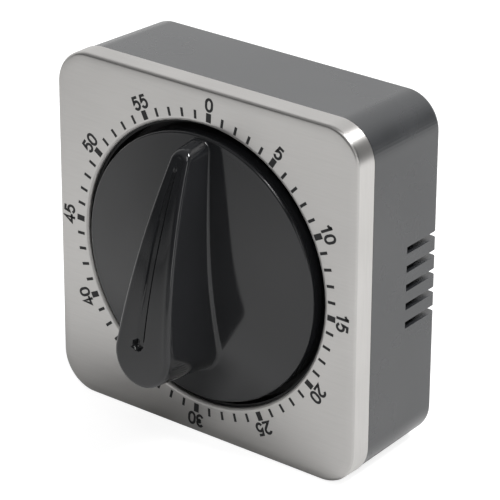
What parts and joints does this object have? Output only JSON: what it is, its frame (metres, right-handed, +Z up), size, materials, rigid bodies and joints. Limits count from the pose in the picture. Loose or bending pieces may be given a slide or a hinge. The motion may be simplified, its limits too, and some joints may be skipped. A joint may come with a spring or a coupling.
{
  "type": "kitchen timer",
  "caption": "Square metal-faced mechanical kitchen timer with a domed twist dial, long wedge grip, wind-up wheel train and hidden bell.",
  "frame": {"origin": "middle of the base, halfway between the front of the grip and the back wall, on the line the metal rim stands on", "axes": "+X to the right seen from the front, +Y from the face to the back, +Z up"},
  "size_m": [0.072, 0.044, 0.072],
  "materials": {
    "face_steel": "fine brushed, satin",
    "shell": "dark grey moulded, semi-gloss",
    "carrier": "black moulded",
    "dial": "black polished moulding",
    "bell_nickel": "nickel plated",
    "fibre": "pressed fibre",
    "ferrite": "dull ground ferrite",
    "spring_steel": "blued spring steel",
    "brass": "stamped and turned brass",
    "zinc_screw": "zinc plated",
    "steel": "stamped and turned steel"
  },
  "bodies": {
    "case": {"front_plate": "face_steel", "rear_housing": "shell", "dial_well": "carrier", "movement_front_plate": "steel", "movement_rear_plate": "steel", "plate_pillars": "brass", "pillar_screws": "zinc_screw", "movement_screws": "zinc_screw", "mainspring": "spring_steel", "hammer_spring": "spring_steel", "bell": "bell_nickel", "bell_washer": "fibre", "bell_screw": "zinc_screw", "magnets": "ferrite", "case_screws": "zinc_screw"},
    "dial": {"dial_knob": "dial", "main_arbor": "steel", "ratchet_wheel": "steel", "trip_cam": "steel"},
    "main": {"main_wheel": "brass", "click_leaf": "spring_steel"},
    "second": {"second_wheel": "brass"},
    "third": {"third_wheel": "brass"},
    "escape": {"escape_wheel": "brass"},
    "anchor": {"pallet_anchor": "steel"},
    "hammer": {"hammer": "steel"}
  },
  "joints": [
    {"name": "dial_turn", "type": "hinge", "parent": "case", "child": "dial", "pos_m": [0, 0, 0.036], "axis": [0, 1, 0], "range_deg": [0, 354]},
    {"name": "main_wheel_turn", "type": "hinge", "parent": "case", "child": "main", "pos_m": [0, 0, 0.036], "axis": [0, 1, 0], "range_deg": [0, 354]},
    {"name": "second_wheel_turn", "type": "hinge", "parent": "case", "child": "second", "pos_m": [-0.01381, 0, 0.02803], "axis": [0, 1, 0], "range_deg": [-1699.2, 0]},
    {"name": "third_wheel_turn", "type": "hinge", "parent": "case", "child": "third", "pos_m": [-0.01464, 0, 0.03959], "axis": [0, 1, 0], "range_deg": [0, 8156.16]},
    {"name": "escape_wheel_turn", "type": "hinge", "parent": "case", "child": "escape", "pos_m": [-0.00874, 0, 0.04828], "axis": [0, 1, 0], "range_deg": [-40780.8, 0]},
    {"name": "anchor_rock", "type": "hinge", "parent": "case", "child": "anchor", "pos_m": [-0.00131, 0, 0.05102], "axis": [0, 1, 0], "range_deg": [-4, 4]},
    {"name": "hammer_swing", "type": "hinge", "parent": "case", "child": "hammer", "pos_m": [0.01652, 0, 0.04], "axis": [0, -1, 0], "range_deg": [0, 8], "stiffness_Nm_per_rad": 0.001, "springref_deg": -11.46, "deforming": ["hammer_spring"]}
  ],
  "couplings": [
    {"joint": "main_wheel_turn", "follows": "dial_turn", "ratio": 1},
    {"joint": "second_wheel_turn", "follows": "dial_turn", "ratio": -4.8},
    {"joint": "third_wheel_turn", "follows": "dial_turn", "ratio": 23.04},
    {"joint": "escape_wheel_turn", "follows": "dial_turn", "ratio": -115.2}
  ]
}
